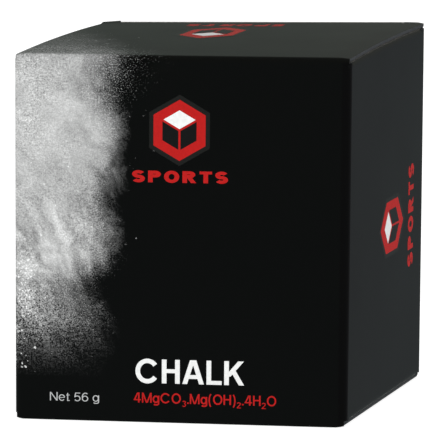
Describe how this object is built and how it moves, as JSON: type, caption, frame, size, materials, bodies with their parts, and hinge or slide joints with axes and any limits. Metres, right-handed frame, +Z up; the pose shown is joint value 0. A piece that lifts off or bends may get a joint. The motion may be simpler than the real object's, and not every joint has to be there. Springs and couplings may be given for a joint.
{
  "type": "gymnastics chalk block",
  "caption": "Pressed chalk cube in a clear overwrap, inside a small black tuck-end carton whose lids, tuck flaps and dust flaps fold open.",
  "frame": {"origin": "centre of the carton's base, on the surface it stands on", "axes": "+Z up, the printed front faces -Y, +X to the right of the front; both lids' creases run along X"},
  "size_m": [0.054, 0.0564, 0.058],
  "materials": {
    "black_board": "satin",
    "raw_board": "matte",
    "dried_glue": "satin",
    "pressed_chalk": "matte",
    "clear_film": "gloss"
  },
  "bodies": {
    "carton": {"front_wall": "black_board", "back_wall": "black_board", "left_wall": "black_board", "right_wall": "black_board", "glue_flap": "raw_board", "glue_line": "dried_glue", "chalk_block": "pressed_chalk", "film_sleeve": "clear_film", "film_bottom_fold": "clear_film", "film_top_fold": "clear_film"},
    "top_lid": {"top_lid": "black_board"},
    "top_tuck": {"top_tuck_flap": "black_board"},
    "top_left_dust": {"top_left_dust_flap": "black_board"},
    "top_right_dust": {"top_right_dust_flap": "black_board"},
    "bottom_lid": {"bottom_lid": "black_board"},
    "bottom_tuck": {"bottom_tuck_flap": "black_board"},
    "bottom_left_dust": {"bottom_left_dust_flap": "black_board"},
    "bottom_right_dust": {"bottom_right_dust_flap": "black_board"}
  },
  "joints": [
    {"name": "top_lid_crease", "type": "hinge", "parent": "carton", "child": "top_lid", "pos_m": [0, -0.028, 0.05775], "axis": [1, 0, 0], "range_deg": [0, 175]},
    {"name": "top_tuck_crease", "type": "hinge", "parent": "top_lid", "child": "top_tuck", "pos_m": [0, 0.0272, 0.05775], "axis": [1, 0, 0], "range_deg": [0, 25]},
    {"name": "top_left_dust_crease", "type": "hinge", "parent": "carton", "child": "top_left_dust", "pos_m": [-0.02675, 0, 0.05695], "axis": [0, -1, 0], "range_deg": [0, 105]},
    {"name": "top_right_dust_crease", "type": "hinge", "parent": "carton", "child": "top_right_dust", "pos_m": [0.02675, 0, 0.05695], "axis": [0, 1, 0], "range_deg": [0, 105]},
    {"name": "bottom_lid_crease", "type": "hinge", "parent": "carton", "child": "bottom_lid", "pos_m": [0, 0.028, 0.00025], "axis": [1, 0, 0], "range_deg": [0, 175]},
    {"name": "bottom_tuck_crease", "type": "hinge", "parent": "bottom_lid", "child": "bottom_tuck", "pos_m": [0, -0.0272, 0.00025], "axis": [1, 0, 0], "range_deg": [0, 25]},
    {"name": "bottom_left_dust_crease", "type": "hinge", "parent": "carton", "child": "bottom_left_dust", "pos_m": [-0.02675, 0, 0.00105], "axis": [0, 1, 0], "range_deg": [0, 105]},
    {"name": "bottom_right_dust_crease", "type": "hinge", "parent": "carton", "child": "bottom_right_dust", "pos_m": [0.02675, 0, 0.00105], "axis": [0, -1, 0], "range_deg": [0, 105]}
  ],
  "couplings": [
    {"joint": "top_tuck_crease", "follows": "top_lid_crease", "ratio": 0.14},
    {"joint": "top_left_dust_crease", "follows": "top_lid_crease", "ratio": 0.6},
    {"joint": "top_right_dust_crease", "follows": "top_lid_crease", "ratio": 0.6},
    {"joint": "bottom_tuck_crease", "follows": "bottom_lid_crease", "ratio": 0.14},
    {"joint": "bottom_left_dust_crease", "follows": "bottom_lid_crease", "ratio": 0.6},
    {"joint": "bottom_right_dust_crease", "follows": "bottom_lid_crease", "ratio": 0.6}
  ]
}
